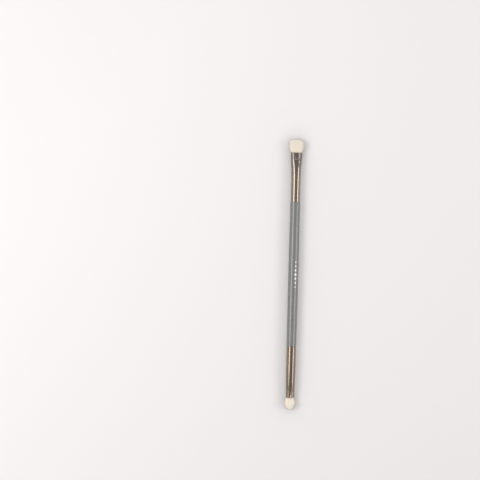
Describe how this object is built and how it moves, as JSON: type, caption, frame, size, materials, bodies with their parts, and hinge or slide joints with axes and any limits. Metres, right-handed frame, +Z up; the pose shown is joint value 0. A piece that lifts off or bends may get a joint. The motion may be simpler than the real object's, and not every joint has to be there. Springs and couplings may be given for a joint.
{
  "type": "double ended makeup brush",
  "caption": "Slim double ended eyeshadow brush: lacquered round handle, pressed metal ferrules, a broad flat tuft at one end and a small domed tuft at the other.",
  "frame": {"origin": "on the resting surface, under the middle of the brush's overall length", "axes": "+Y along the brush towards the wide tuft, +Z up from the surface that the brush lies on"},
  "size_m": [0.0102, 0.1698, 0.0062],
  "materials": {
    "handle_lacquer": "turned birch under satin grey lacquer",
    "ferrule_metal": "polished gunmetal anodised",
    "hair": "undyed cream hair",
    "thread": "waxed cotton thread",
    "glue": "cured clear amber epoxy"
  },
  "bodies": {
    "root": {"handle": "handle_lacquer", "wide_ferrule": "ferrule_metal", "wide_tuft": "hair", "wide_tuft_thread": "thread", "wide_glue_plug": "glue", "wide_tenon_glue": "glue", "narrow_ferrule": "ferrule_metal", "narrow_tuft": "hair", "narrow_tuft_thread": "thread", "narrow_glue_plug": "glue", "narrow_tenon_glue": "glue"}
  },
  "joints": []
}
